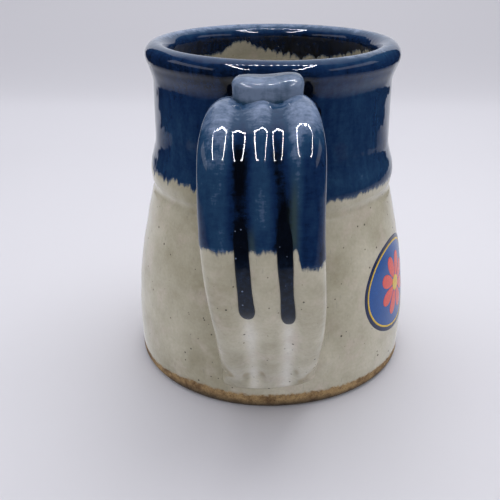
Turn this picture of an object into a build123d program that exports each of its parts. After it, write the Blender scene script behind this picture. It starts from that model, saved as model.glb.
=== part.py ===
from build123d import *
import math
import os

# A hand-thrown stoneware mug with a pulled strap handle.  Millimetres, +Z up, the foot
# stands on z = 0 and the mug's axis is the Z axis.  The handle points along -Y.
#
# The thin base glaze counts as part of the clay it covers.  The second glaze is thicker and
# is a solid of its own, over the collar, the rim, the top of the handle and the thumb rest.

# Thrown body
HEIGHT = 115.0            # foot to the crest of the rim
FOOT_RADIUS = 49.9        # just above the bevelled foot edge
FOOT_BEVEL = 0.9
BELLY_BULGE = 2.6         # how far the belly swells past a straight cone
GROOVE_HEIGHT = 66.0      # groove under the ring
GROOVE_RADIUS = 42.2
GROOVE_WIDTH = 3.2
GROOVE_SLACK = 0.8        # how much wider the pot is just below the groove
RING_RADIUS = 43.2        # raised ring where belly and collar meet
RING_WIDTH = 7.6
RING_FADE = 5.5           # slope from the ring down to the plain collar
RING_STEP = 0.6           # how far the ring has fallen in where that slope starts
COLLAR_RADIUS = 41.2
RIM_BEAD = 4.35           # radius of the rolled rim
RIM_FLARE = 2.3           # how far the rolled rim stands out from the collar
THROAT = 9.0              # rim's widest line down to the plain collar
THROAT_ANGLE = -35        # where that hollow meets the rolled rim, below its widest line
WALL = 4.6
FLOOR = 7.0
FLOOR_CORNER = 11.0
INNER_TAPER = 36.0        # height over which the inside widens from collar to belly
INNER_SWELL = 0.8         # how far that stretch bulges past a straight cone
FOOT_RING_WIDTH = 8.5
FOOT_RECESS = 1.6

# Second glaze
GLAZE = 0.45
GLAZE_STEP = 0.004        # share of the strap over which that thickness starts
INNER_DIP = 10.0          # its lower edge inside, down from the crest of the rim
RUN_WIDTH = 3.6           # two thick runs of it down the flutes of the handle
RUN_LENGTH = 20.0
RUN_STAGGER = 2.0         # how much longer the second run is

# Strap handle
STRAP_WIDTH = 34.0
STRAP_TOP_WIDTH = 26.0
STRAP_LOW_WIDTH = 31.2
STRAP_THICKNESS = 9.0
STRAP_LOW_THICKNESS = 7.6
STRAP_REACH = 39.6        # collar to the front of the strap
STRAP_DROP = 6.8          # crest of the rim down to the top of the strap
STRAP_LOW_END = 8.6       # its lowest edge above the table
STRAP_LEAN = 2.5          # how far its front stands to one side of the mug's middle
FLUTE_DEPTH = 1.3
FLUTE_WIDTH = 5.6         # each flute is as wide as the rib between the two
FLUTE_OFFSET = 5.8        # each flute from the middle of the strap
EDGE_ROUND = 2.4          # how far in from its edge the strap starts to round over
WELD_REACH = 6.0          # smoothed clay at each end of the strap
WELD_SPREAD = 3.0         # how much wider than the strap it is on the collar
LOW_WELD_SPREAD = 1.2     # and on the belly

# Thumb rest
PAD_WIDTH = 19.4
PAD_DEPTH = 11.5
PAD_HEIGHT = 5.0          # above the strap
PAD_GAP = 8.0             # clear space between collar and thumb rest
PAD_ROOT = 4.0            # how deep the pinched clay reaches into the strap
PAD_LEAN = 1.1            # off the mug's middle, like the strap under it

STRAP_STEPS = 10          # lofted sections in each half of the strap
RUN_STEPS = 4

BEAD_RADIUS = COLLAR_RADIUS + RIM_FLARE - RIM_BEAD
BEAD_HEIGHT = HEIGHT - RIM_BEAD
INNER_RADIUS = COLLAR_RADIUS - WALL
GROOVE_LOW = (GROOVE_RADIUS + GROOVE_SLACK, GROOVE_HEIGHT - GROOVE_WIDTH / 2)
GROOVE_HIGH = (GROOVE_RADIUS + GROOVE_SLACK / 2, GROOVE_HEIGHT + GROOVE_WIDTH / 2)
RING_CREST = (RING_RADIUS, GROOVE_HIGH[1] + RING_WIDTH / 2)
RING_END = (RING_RADIUS - RING_STEP, RING_CREST[1] + RING_WIDTH / 2)
COLLAR_START = (COLLAR_RADIUS, RING_END[1] + RING_FADE)
COLLAR_END = (COLLAR_RADIUS, BEAD_HEIGHT - THROAT)
DIP_HEIGHT = RING_CREST[1]
CROWN = HEIGHT - STRAP_DROP
FRONT = COLLAR_RADIUS + STRAP_REACH


def bead_point(angle, inset=0):
    """A point of the rolled rim, its angle measured from outward horizontal."""
    turn = math.radians(angle)
    radius = RIM_BEAD - inset
    return (BEAD_RADIUS + radius * math.cos(turn), BEAD_HEIGHT + radius * math.sin(turn))


def chain(points):
    """Straight lines from point to point."""
    return [Line(start, end) for start, end in zip(points, points[1:])]


def turned(edges):
    """Turn a closed half section round the mug's axis."""
    return revolve(Plane.XZ * make_face(edges), Axis.Z, 360)


def belly_outline():
    """Foot to the crest of the ring, outside."""
    foot = (FOOT_RADIUS, FOOT_BEVEL)
    middle = ((foot[0] + GROOVE_LOW[0]) / 2 + BELLY_BULGE, (foot[1] + GROOVE_LOW[1]) / 2)
    return [
        Line((FOOT_RADIUS - FOOT_BEVEL, 0), foot),
        ThreePointArc(foot, middle, GROOVE_LOW),
        ThreePointArc(GROOVE_LOW, (GROOVE_RADIUS, GROOVE_HEIGHT), GROOVE_HIGH),
        TangentArc(RING_CREST, GROOVE_HIGH, tangent=(0, -1)),
    ]


def fade():
    """Slope from the ring down to the plain collar."""
    return TangentArc(COLLAR_START, RING_END, tangent=(0, -1))


def throat():
    """Hollow curve from the collar out to the rolled rim."""
    return TangentArc(COLLAR_END, bead_point(THROAT_ANGLE), tangent=(0, 1))


def coated_outline():
    """Crest of the ring to the inside of the rim, over the second glaze."""
    return [
        TangentArc(RING_CREST, RING_END, tangent=(0, 1)),
        fade(),
        Line(COLLAR_START, COLLAR_END),
        throat(),
        ThreePointArc(bead_point(THROAT_ANGLE), bead_point(27), bead_point(90)),
        ThreePointArc(bead_point(90), bead_point(150), bead_point(205)),
        Line(bead_point(205), (INNER_RADIUS, HEIGHT - INNER_DIP)),
    ]


def clay_rim():
    """Corners of the clay under the second glaze, from the ring's crest up and over."""
    hollows = [RING_END, fade() @ 0.5, COLLAR_START, COLLAR_END, throat() @ 0.5]
    points = [RING_CREST]
    points += [(point[0] - GLAZE, point[1]) for point in map(tuple, hollows)]
    points += [bead_point(angle, GLAZE) for angle in (-32, 5, 45, 90, 135, 175, 210)]
    points.append((INNER_RADIUS, HEIGHT - INNER_DIP))
    return points


def inner_outline():
    """Lower edge of the second glaze inside, down to the middle of the floor."""
    belly = FOOT_RADIUS - WALL - INNER_SWELL
    neck_low = (INNER_RADIUS, RING_CREST[1] + RING_FADE)
    wall_top = (belly, neck_low[1] - INNER_TAPER)
    wall_low = (belly, FLOOR + FLOOR_CORNER)
    floor_edge = (belly - FLOOR_CORNER, FLOOR)
    swell = ((neck_low[0] + wall_top[0]) / 2 + INNER_SWELL, (neck_low[1] + wall_top[1]) / 2)
    return [
        Line((INNER_RADIUS, HEIGHT - INNER_DIP), neck_low),
        ThreePointArc(neck_low, swell, wall_top),
        Line(wall_top, wall_low),
        TangentArc(wall_low, floor_edge, tangent=(0, -1)),
        Line(floor_edge, (0, FLOOR)),
    ]


def thrown_body():
    """Clay from the foot to the rim, hollow inside, with a shallow turned foot."""
    under = [(0, FLOOR), (0, 0), (FOOT_RADIUS - FOOT_BEVEL, 0)]
    body = turned(belly_outline() + chain(clay_rim()) + inner_outline() + chain(under))
    return body - Cylinder(FOOT_RADIUS - FOOT_BEVEL - FOOT_RING_WIDTH, 2 * FOOT_RECESS)


def solid_core():
    """The body's outside with no hollow, for trimming what is joined to it."""
    rim = clay_rim()
    top = bead_point(90, GLAZE)
    rim = rim[:rim.index(top) + 1]
    closing = [top, (0, top[1]), (0, 0), (FOOT_RADIUS - FOOT_BEVEL, 0)]
    return turned(belly_outline() + chain(rim) + chain(closing))


def coated_core():
    """The same over the second glaze."""
    top = bead_point(90)
    closing = [top, (0, top[1]), (0, 0), (FOOT_RADIUS - FOOT_BEVEL, 0)]
    return turned(belly_outline() + coated_outline()[:5] + chain(closing))


def ease(low, high, part):
    """Blend from low to high as part goes from 0 to 1."""
    part = min(max(part, 0), 1)
    return low + (high - low) * part * part * (3 - 2 * part)


def strap_line():
    """The middle of the strap, from the collar over and down to the foot."""
    crown = CROWN - STRAP_THICKNESS / 2
    front = FRONT - STRAP_THICKNESS / 2
    reach = front - COLLAR_RADIUS
    low_y = FOOT_RADIUS - 0.4 * STRAP_LOW_THICKNESS
    low_z = STRAP_LOW_END + 0.4 * STRAP_LOW_THICKNESS
    drop = crown - low_z
    inward = front - low_y
    over = [(-0.05, 0.05), (0.22, 0.018), (0.51, 0), (0.84, 0.068), (1, 0.25)]
    down = [(0.01, 0.41), (0.20, 0.60), (0.61, 0.83), (1, 1)]
    rise = [(COLLAR_RADIUS + share * reach, crown - fall * drop) for share, fall in over]
    rise += [(front - share * inward, crown - fall * drop) for share, fall in down]
    leans = [0, 0.35, 0.8, 1, 1, 0.85, 0.4, 0.05, 0]
    return Spline([(-lean * STRAP_LEAN, -y, z) for lean, (y, z) in zip(leans, rise)])


def strap_section(line, along, grow):
    """The three-ribbed section at a share of the line, made larger by grow all round."""
    width = ease(STRAP_TOP_WIDTH, STRAP_WIDTH, along / 0.36)
    width = ease(width, STRAP_LOW_WIDTH, (along - 0.6) / 0.4)
    thick = ease(STRAP_THICKNESS, STRAP_LOW_THICKNESS, (along - 0.75) / 0.25)
    half = width / 2 + grow
    high = thick / 2 + grow
    flute = FLUTE_OFFSET * width / STRAP_WIDTH
    shore = high - 0.5 * FLUTE_DEPTH
    rib_half = flute - FLUTE_WIDTH / 2
    rib_start = flute + FLUTE_WIDTH / 2
    rib_end = half - EDGE_ROUND
    edges = [ThreePointArc((-rib_half, shore), (0, high), (rib_half, shore))]
    for side in (-1, 1):
        inner = (side * rib_half, shore)
        outer = (side * rib_start, shore)
        brow = (side * rib_end, high - 0.3 * EDGE_ROUND)
        crest = (side * (rib_start + rib_end) / 2, high)
        heel = (side * rib_end, -high + 0.25 * EDGE_ROUND)
        edges.append(ThreePointArc(inner, (side * flute, high - FLUTE_DEPTH), outer))
        edges.append(ThreePointArc(outer, crest, brow))
        edges.append(ThreePointArc(brow, (side * half, 0), heel))
    edges.append(ThreePointArc((-rib_end, heel[1]), (0, -high), heel))
    frame = Plane(origin=line @ along, x_dir=(1, 0, 0), z_dir=line % along)
    return frame * make_face(edges)


def share_at_height(line, height):
    """The share of the line where it comes down past a height."""
    low, high = 0.3, 1.0
    while high - low > 1e-5:
        middle = (low + high) / 2
        if (line @ middle).Z > height:
            low = middle
        else:
            high = middle
    return low


def stations(start, end, count=STRAP_STEPS):
    """Even shares from start to end."""
    return [start + (end - start) * step / count for step in range(count + 1)]


def strap_clay():
    """The pulled strap, lofted along its line, thinner where the second glaze covers it."""
    line = strap_line()
    dip = share_at_height(line, DIP_HEIGHT)
    sections = [strap_section(line, at, -GLAZE) for at in stations(0, dip)]
    sections += [strap_section(line, at, 0) for at in stations(dip + GLAZE_STEP, 1)]
    return loft(sections, ruled=True)


def strap_coated():
    """The strap down to the dip line, over the second glaze."""
    line = strap_line()
    dip = share_at_height(line, DIP_HEIGHT)
    return loft([strap_section(line, at, 0) for at in stations(0, dip)], ruled=True)


def weld(grow, at_foot):
    """Clay smoothed from the strap on to the body, wide at the wall and feathered outward."""
    line = strap_line()
    reach = WELD_REACH / line.length
    wall = (STRAP_LOW_THICKNESS / 3 if at_foot else WALL / 3) / line.length
    spread = LOW_WELD_SPREAD if at_foot else WELD_SPREAD
    feather = ((1, 0.05), (0.6, 0.18), (0.25, 0.5), (0, 1), (-wall / reach, 1.6))
    sections = []
    for away, wider in feather:
        share = wall + away * reach
        place = 1 - share if at_foot else share
        sections.append(strap_section(line, place, grow + wider * spread))
    return loft(sections, ruled=True)


def thumb_pad(grow):
    """The pinched rest on the crown of the strap, lofted across its width."""
    near = COLLAR_RADIUS + PAD_GAP - grow
    far = COLLAR_RADIUS + PAD_GAP + PAD_DEPTH + grow
    middle = (near + far) / 2
    half = PAD_WIDTH / 2 + grow
    sections = []
    for share in (-1, -0.93, -0.8, -0.5, 0, 0.5, 0.8, 0.93, 1):
        size = max((1 - abs(share) ** 3) ** 0.5, 0.3)
        reach = (far - near) / 2 * size
        top = CROWN + (PAD_HEIGHT + grow) * size
        waist = CROWN + 0.45 * PAD_HEIGHT * size
        root = CROWN - PAD_ROOT * size
        frame = Plane(origin=(share * half - PAD_LEAN, 0, 0), x_dir=(0, -1, 0), z_dir=(-1, 0, 0))
        outline = [
            ThreePointArc((middle - reach, waist), (middle - 0.1 * reach, top), (middle + reach, waist)),
            Line((middle + reach, waist), (middle + 0.7 * reach, root)),
            Line((middle + 0.7 * reach, root), (middle - 0.7 * reach, root)),
            Line((middle - 0.7 * reach, root), (middle - reach, waist)),
        ]
        sections.append(frame * make_face(outline))
    return loft(sections, ruled=True)


def glaze_run(side, length):
    """A thick run of the second glaze that hangs in one flute and ends in a round drop."""
    line = strap_line()
    start = share_at_height(line, DIP_HEIGHT)
    end = share_at_height(line, DIP_HEIGHT - length)
    radius = RUN_WIDTH / 2
    high = STRAP_THICKNESS / 2 - FLUTE_DEPTH
    places = [(share, radius) for share in stations(start, end, RUN_STEPS)]
    for angle in (30, 55, 75, 88):
        turn = math.radians(angle)
        places.append((end + radius * math.sin(turn) / line.length, radius * math.cos(turn)))
    sections = []
    for share, size in places:
        frame = Plane(origin=line @ share, x_dir=(1, 0, 0), z_dir=line % share)
        sections.append(frame * Pos(side * FLUTE_OFFSET, high) * Circle(size))
    return loft(sections, ruled=True)


def build():
    """Every sub-part by name."""
    core = solid_core()
    coated = coated_core()
    strap = strap_clay()
    pad = thumb_pad(-GLAZE)
    upper = weld(-GLAZE, False)
    lower = weld(0, True)
    rim_coat = turned(coated_outline() + chain(clay_rim()))
    handle_skin = strap_coated() + thumb_pad(0) + weld(0, False)
    return {
        "thrown_body": thrown_body(),
        "strap_handle": strap - core,
        "thumb_rest": pad - strap,
        "upper_weld": upper - strap - core,
        "lower_weld": lower - strap - core,
        "collar_glaze": rim_coat - strap - upper,
        "handle_glaze": handle_skin - strap - pad - upper - coated,
        "left_glaze_run": glaze_run(-1, RUN_LENGTH) - strap,
        "right_glaze_run": glaze_run(1, RUN_LENGTH + RUN_STAGGER) - strap,
    }


os.makedirs("parts", exist_ok=True)
for name, shape in build().items():
    export_step(shape, f"parts/{name}.step")
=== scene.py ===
"""Finish of a hand-thrown stoneware mug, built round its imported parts.

Two glazes lie on the clay.  A warm grey one covers everything but the foot.  A cobalt one,
thicker, was dipped over the collar, the rim and the top of the handle, and ran down the
handle's flutes.  The mug stands on z = 0 and its handle points along -Y.
"""
import math

import bmesh
import bpy
import numpy as np
from mathutils import Matrix, Vector


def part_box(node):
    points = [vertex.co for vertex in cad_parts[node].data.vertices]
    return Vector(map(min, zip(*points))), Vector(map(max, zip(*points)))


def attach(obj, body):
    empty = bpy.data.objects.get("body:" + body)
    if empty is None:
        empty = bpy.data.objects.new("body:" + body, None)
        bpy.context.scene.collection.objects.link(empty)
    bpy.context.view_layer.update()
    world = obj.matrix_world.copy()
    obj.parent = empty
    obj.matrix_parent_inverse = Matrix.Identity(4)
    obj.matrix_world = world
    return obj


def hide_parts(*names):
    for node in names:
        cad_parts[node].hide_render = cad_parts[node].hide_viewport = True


bl_info = {
    "name": "Stoneware Mug",
    "version": (1, 0, 0),
    "blender": (4, 5, 0),
    "location": "3D View > Sidebar > Mug",
    "description": "Glazes, handle and painted oval of a hand-thrown stoneware mug",
    "category": "Add Mesh",
}

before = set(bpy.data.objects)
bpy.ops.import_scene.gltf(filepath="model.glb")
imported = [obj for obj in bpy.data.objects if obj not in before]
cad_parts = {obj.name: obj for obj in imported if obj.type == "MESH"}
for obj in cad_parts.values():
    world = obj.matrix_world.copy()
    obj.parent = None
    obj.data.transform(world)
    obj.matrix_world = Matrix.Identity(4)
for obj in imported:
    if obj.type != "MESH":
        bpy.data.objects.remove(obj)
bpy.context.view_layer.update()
MM = 0.001
BODY = "root"
CLAY_SLOT = "glazed_stoneware"
COBALT_SLOT = "blue_glaze"

COAT_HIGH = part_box("collar_glaze")[1]
STRAP_LOW, STRAP_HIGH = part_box("strap_handle")
SKIN_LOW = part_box("handle_glaze")[0]
REST_LOW, REST_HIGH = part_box("thumb_rest")


# ---------------------------------------------------------------- sizes and colours

def linear(code):
    """Linear RGBA of an sRGB hex colour."""
    values = [int(code[i:i + 2], 16) / 255 for i in (1, 3, 5)]
    return [v / 12.92 if v <= 0.04045 else ((v + 0.055) / 1.055) ** 2.4 for v in values] + [1.0]


def length(name, description, default):
    """A size in metres that the sidebar shows."""
    return bpy.props.FloatProperty(name=name, description=description, default=default,
                                   min=0.0, unit="LENGTH", precision=5)


def colour(name, description, code):
    """A colour that the sidebar shows."""
    return bpy.props.FloatVectorProperty(name=name, description=description, size=4,
                                         subtype="COLOR", min=0, max=1, default=linear(code))


class MugSizes(bpy.types.PropertyGroup):
    """Sizes of the pot, its handle and its glazes."""

    height: length("Height", "Foot to the crest of the rim", COAT_HIGH.z)
    rim_radius: length("Rim radius", "Outermost line of the rolled rim", COAT_HIGH.x)
    rim_bead: length("Rim bead", "Radius of the roll of the rim", 4.35 * MM)
    collar_radius: length("Collar radius", "Outside of the straight collar", 41.2 * MM)
    ring_radius: length("Ring radius", "Raised ring where belly and collar meet", 43.2 * MM)
    ring_height: length("Ring height", "Foot to the crest of the ring", 71.0 * MM)
    foot_radius: length("Foot radius", "Just above the foot's edge", 49.75 * MM)
    foot_round: length("Foot rounding", "How far in from the foot's edge it is rounded", 1.6 * MM)
    wall: length("Wall", "Thickness of the thrown wall", 4.6 * MM)
    floor: length("Floor", "Table to the inside of the floor", 7.0 * MM)
    glaze: length("Second glaze", "How thick the cobalt glaze lies", 0.4 * MM)
    dip_line: length("Dip line", "Lower edge of the cobalt glaze outside", 72.6 * MM)
    inner_line: length("Inner dip line", "Its lower edge inside", 105.3 * MM)
    foot_line: length("Foot line", "Lower edge of the grey glaze", 5.0 * MM)
    strap_width: length("Strap width", "Across the handle", 34.0 * MM)
    strap_thickness: length("Strap thickness", "Through the handle", 9.0 * MM)
    flute_depth: length("Flute depth", "Depth of the two finger flutes", 1.35 * MM)
    run_width: length("Run width", "Across a run of cobalt glaze", 4.1 * MM)
    rest_width: length("Thumb rest width", "Across the pinched thumb rest", 19.6 * MM)
    rest_depth: length("Thumb rest depth", "Collar side to front", 11.2 * MM)
    rest_height: length("Thumb rest height", "Through the thumb rest, with its root", 7.6 * MM)
    rest_side: bpy.props.FloatProperty(name="Thumb rest side", description="Off the mug's middle",
                                       default=-1.1 * MM, unit="LENGTH", precision=5)
    oval_width: length("Oval width", "Painted oval, across", 42.6 * MM)
    oval_height: length("Oval height", "Painted oval, upright", 33.8 * MM)


class MugColours(bpy.types.PropertyGroup):
    """Colours of the fired surfaces."""

    grey_glaze: colour("Grey glaze", "Warm grey glaze over the clay", "#C3BEAA")
    # grey_shade is the glaze's deep tone, and also painted shade where the shade attribute darkens
    # the glaze
    grey_shade: colour("Grey glaze, deep", "Where it lies thicker", "#98927A")
    # painted reflection: the flute bottoms near the strap's foot are lightened toward this milky
    # tone
    grey_milky_and_sheen: colour("Grey glaze, milky", "Where it gathered in the flutes", "#D9D6CA")
    grey_blush: colour("Grey glaze, blush", "Pinkish clouds in it", "#C2B6A8")
    iron: colour("Iron speck", "Iron that melted through", "#241C16")
    cobalt_thin: colour("Cobalt, thin", "Where the cobalt glaze breaks over an edge", "#7B8BA6")
    cobalt_mid: colour("Cobalt, middling", "On the ribs", "#23415F")
    cobalt_deep: colour("Cobalt, deep", "On the collar", "#11284B")
    cobalt_pool: colour("Cobalt, pooled", "Where it ran together", "#04070F")
    run_navy: colour("Run, dark", "Darkest in the runs down the flutes", "#09121F")
    run_blue: colour("Run, light", "Lightest in the runs down the flutes", "#182539")
    rutile: colour("Rutile bloom", "Olive cast where it is thinnest on the ribs", "#3C4D49")
    bare_clay: colour("Bare clay", "Fired stoneware with no glaze", "#A3875B")
    burnt_clay: colour("Toasted clay", "Flashed patches on the foot", "#6B4F2D")
    enamel_navy: colour("Enamel navy", "Outer border of the oval", "#16264D")
    enamel_blue: colour("Enamel blue", "Ground of the oval", "#124E95")
    enamel_yellow: colour("Enamel yellow", "Inner border and the flower's heart", "#D9B53A")
    enamel_red: colour("Enamel red", "Petals", "#D9534A")


def sizes():
    """The sizes as the sidebar has them."""
    return bpy.context.scene.mug_sizes


def colours():
    """The colours as the sidebar has them."""
    return bpy.context.scene.mug_colours


# ---------------------------------------------------------------- curves and meshes

def eased(value, low, high):
    """0 below low and 1 above high, with a soft start and end."""
    part = np.clip((value - low) / (high - low), 0, 1)
    return part * part * (3 - 2 * part)


def bump(value, centre, reach):
    """A bell of height 1 about centre."""
    return np.exp(-((value - centre) / reach) ** 2)


def waved(x, places, levels):
    """A smooth line through levels at places in millimetres, level at each of them."""
    step = np.interp(x, np.array(places) * MM, np.arange(len(places)))
    first = np.clip(np.floor(step).astype(int), 0, len(places) - 2)
    levels = np.array(levels)
    return levels[first] + (levels[first + 1] - levels[first]) * eased(step - first, 0, 1)


def circle(count):
    """Angles of that many places evenly round a circle."""
    return np.linspace(0, 2 * math.pi, count, endpoint=False)


def wave(angle, seed, low, high, count=7):
    """A random wave round the pot, about 1 high, of between low and high turns."""
    random = np.random.default_rng(seed)
    turns = random.integers(low, high + 1, count)
    phases = random.uniform(0, 2 * math.pi, count)
    total = sum(np.sin(turn * angle + phase) for turn, phase in zip(turns, phases))
    return total / math.sqrt(count / 2)


def arc(start, middle, end, step=0.8 * MM):
    """Points of the round arc through three points, without the last."""
    (ax, ay), (bx, by), (cx, cy) = start, middle, end
    d = 2 * (ax * (by - cy) + bx * (cy - ay) + cx * (ay - by))
    a, b, c = ax * ax + ay * ay, bx * bx + by * by, cx * cx + cy * cy
    ux = (a * (by - cy) + b * (cy - ay) + c * (ay - by)) / d
    uy = (a * (cx - bx) + b * (ax - cx) + c * (bx - ax)) / d
    radius = math.hypot(ax - ux, ay - uy)
    first, mid, last = (math.atan2(y - uy, x - ux) for x, y in (start, middle, end))
    sweep = (last - first) % (2 * math.pi)
    if (mid - first) % (2 * math.pi) > sweep:
        sweep -= 2 * math.pi
    count = max(2, round(abs(sweep) * radius / step))
    turns = first + sweep * np.arange(count) / count
    return np.stack([ux + radius * np.cos(turns), uy + radius * np.sin(turns)], axis=1)


def straight(start, end, step=0.8 * MM):
    """Points of a straight line, without the last."""
    count = max(1, round(math.dist(start, end) / step))
    share = np.arange(count)[:, None] / count
    return np.array(start) + (np.array(end) - np.array(start)) * share


def bent_line(knots, step):
    """Points, a step apart, of the curve that bends least through the knots.

    With them comes the distance of each along the curve."""
    knots = np.array(knots, float)
    at = np.concatenate([[0], np.cumsum(np.linalg.norm(np.diff(knots, axis=0), axis=1))])
    gap = np.diff(at)
    system, pull = np.eye(len(at)), np.zeros_like(knots)
    for i in range(1, len(at) - 1):
        system[i, i - 1:i + 2] = gap[i - 1], 2 * (gap[i - 1] + gap[i]), gap[i]
        pull[i] = 6 * ((knots[i + 1] - knots[i]) / gap[i] - (knots[i] - knots[i - 1]) / gap[i - 1])
    bend = np.linalg.solve(system, pull)
    where = np.linspace(0, at[-1], round(at[-1] / step) + 1)
    i = np.clip(np.searchsorted(at, where, side="right") - 1, 0, len(gap) - 1)
    left, right, width = (at[i + 1] - where)[:, None], (where - at[i])[:, None], gap[i][:, None]
    line = ((bend[i] * left ** 3 + bend[i + 1] * right ** 3) / (6 * width)
            + (knots[i] / width - bend[i] * width / 6) * left
            + (knots[i + 1] / width - bend[i + 1] * width / 6) * right)
    steps = np.linalg.norm(np.diff(line, axis=0), axis=1)
    return line, np.concatenate([[0], np.cumsum(steps)])


def slopes(line, along):
    """The direction of a line at each of its points, one long."""
    slope = np.gradient(line, along, axis=0)
    return slope / np.linalg.norm(slope, axis=1)[:, None]


def grid_faces(rows, columns, wrap_rows):
    """Quads between rings of points, from the last ring back to the first if the rows wrap."""
    r = np.arange(rows if wrap_rows else rows - 1)[:, None]
    c = np.arange(columns)[None, :]
    r_next, c_next = (r + 1) % rows, (c + 1) % columns
    here, after = r * columns, r_next * columns
    corners = (here + c, here + c_next, after + c_next, after + c)
    grid = [np.broadcast_to(corner, (r.size, c.size)) for corner in corners]
    return np.stack(grid, axis=-1).reshape(-1, 4)


def skin(name, points, material, wrap_rows=False, **paints):
    """A closed mesh from a grid of rings.  Its ends close in a fan, or the rings close in a loop.

    Each paint is one number per point, kept as an attribute that the material reads."""
    rows, columns = points.shape[:2]
    vertices = points.reshape(-1, 3)
    faces = grid_faces(rows, columns, wrap_rows).tolist()
    values = {key: np.broadcast_to(value, (rows, columns)).ravel()
              for key, value in paints.items()}
    if not wrap_rows:
        vertices = np.concatenate([vertices, [points[0].mean(0), points[-1].mean(0)]])
        first, last = len(vertices) - 2, len(vertices) - 1
        top = (rows - 1) * columns
        for c in range(columns):
            faces.append((first, (c + 1) % columns, c))
            faces.append((last, top + c, top + (c + 1) % columns))
        values = {key: np.append(value, [value[0], value[-1]]) for key, value in values.items()}
    mesh = bpy.data.meshes.new(name)
    mesh.from_pydata(vertices.tolist(), [], faces)
    for key, value in values.items():
        paint = mesh.attributes.new(key, "FLOAT", "POINT")
        paint.data.foreach_set("value", value.astype(np.float32))
    mesh.polygons.foreach_set("use_smooth", [True] * len(mesh.polygons))
    mesh.materials.append(material)
    mesh.update()
    face_outward(mesh)
    made = bpy.data.objects.new(name, mesh)
    bpy.context.scene.collection.objects.link(made)
    return made


def face_outward(mesh):
    """Turns a closed mesh whose faces look inward the right way out."""
    form = bmesh.new()
    form.from_mesh(mesh)
    if form.calc_volume(signed=True) < 0:
        mesh.flip_normals()
    form.free()


def finish_piece(piece, slot, *nodes):
    """The piece rides with the mug and stands for CAD nodes.  The slot is not used."""
    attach(piece, BODY)
    if nodes:
        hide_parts(*nodes)


# ---------------------------------------------------------------- the pot's form

# Marks of the potter's fingers: hollows in the collar beside the thumb rest, and clay pushed up
# beside the handle's foot.  Each has an angle from the handle's side, its reach round the pot,
# its height in millimetres and how deep or how high it is in millimetres.
HOLLOW = 1.1
BESIDE_REST = ((-0.275, 0.055, 105.5, HOLLOW), (0.24, 0.055, 105.5, HOLLOW))
BESIDE_FOOT = ((-0.355, 0.045, 15.0, 0.5), (0.385, 0.055, 16.5, 0.8))
FINGERTIP = 3 * MM          # how far a mark reaches up and down
SHRUNK = 0.33               # millimetres that the surface lies in, on the whole, from its outline

# Groups of small runs below the dip lines: seed, how many, the middle of the group round the pot,
# how far it spreads to each side, and the longest and the usual width in millimetres.
OUTER_RUNS = ((5, 34, -0.62, 0.65, 2.4, 0.55),      # left of the handle
              (6, 40, 0.9, 0.75, 1.0, 0.5),         # right of it
              (7, 60, 3.0, 1.6, 1.6, 0.6))          # behind
INNER_RUNS = ((10, 110, 0.0, math.pi, 1.9, 0.6),)

CENTRE_HOLE = 0.5 * MM      # radius of the innermost ring of points, which a fan closes


def on_bead(s, degrees):
    """(radius, height) of a place on the rolled rim, turned up from its outermost line."""
    turn = math.radians(degrees)
    return (s.rim_radius - s.rim_bead + s.rim_bead * math.cos(turn),
            s.height - s.rim_bead + s.rim_bead * math.sin(turn))


def between(start, end, out=0.0):
    """The point halfway between two, moved out from the axis."""
    return ((start[0] + end[0]) / 2 + out, (start[1] + end[1]) / 2)


def outside(s):
    """(radius, height) from the foot's edge up to the crest of the rim, over the glazes."""
    edge = (s.foot_radius - 0.3 * s.foot_round, 0.9 * MM)
    foot = (s.foot_radius, 2.6 * MM)
    hip = (s.foot_radius - 0.1 * MM, 26 * MM)
    waist = (s.foot_radius - 3.2 * MM, 48 * MM)
    groove_z = s.ring_height - 5 * MM
    groove = (s.ring_radius - 1.0 * MM, groove_z)
    groove_low = (groove[0] + 0.75 * MM, groove_z - 2.1 * MM)
    groove_high = (groove[0] + 0.6 * MM, groove_z + 1.7 * MM)
    ring = (s.ring_radius, s.ring_height)
    ring_end = (s.ring_radius - 0.6 * MM, s.ring_height + 4.4 * MM)
    fade = (s.collar_radius + 0.5 * MM, s.ring_height + 8 * MM)
    collar = (s.collar_radius, s.ring_height + 11.5 * MM)
    neck = (s.collar_radius - 0.1 * MM, s.height - 13 * MM)
    throat = (s.collar_radius + 0.55 * MM, s.height - 9.8 * MM)
    return np.concatenate([
        arc((s.foot_radius - s.foot_round, 0), edge, foot, 0.4 * MM),
        arc(foot, (s.foot_radius + 0.35 * MM, 14 * MM), hip),
        arc(hip, (s.foot_radius - 1.25 * MM, 37.5 * MM), waist),
        arc(waist, between(waist, groove_low, 0.1 * MM), groove_low),
        arc(groove_low, groove, groove_high, 0.5 * MM),
        arc(groove_high, (ring[0] - 0.1 * MM, ring[1] - 1.2 * MM), ring, 0.6 * MM),
        arc(ring, (ring[0] - 0.12 * MM, ring[1] + 2 * MM), ring_end, 0.6 * MM),
        arc(ring_end, between(ring_end, fade, -0.05 * MM), fade),
        arc(fade, (collar[0] + 0.12 * MM, (fade[1] + collar[1]) / 2), collar),
        straight(collar, neck, 1.0 * MM),
        arc(neck, (s.collar_radius + 0.12 * MM, s.height - 11.3 * MM), throat),
        arc(throat, (s.collar_radius + 1.2 * MM, s.height - 8 * MM), on_bead(s, -33), 0.6 * MM),
        arc(on_bead(s, -33), on_bead(s, 27), on_bead(s, 90), 0.55 * MM),
        np.array([on_bead(s, 90)]),
    ])


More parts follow.
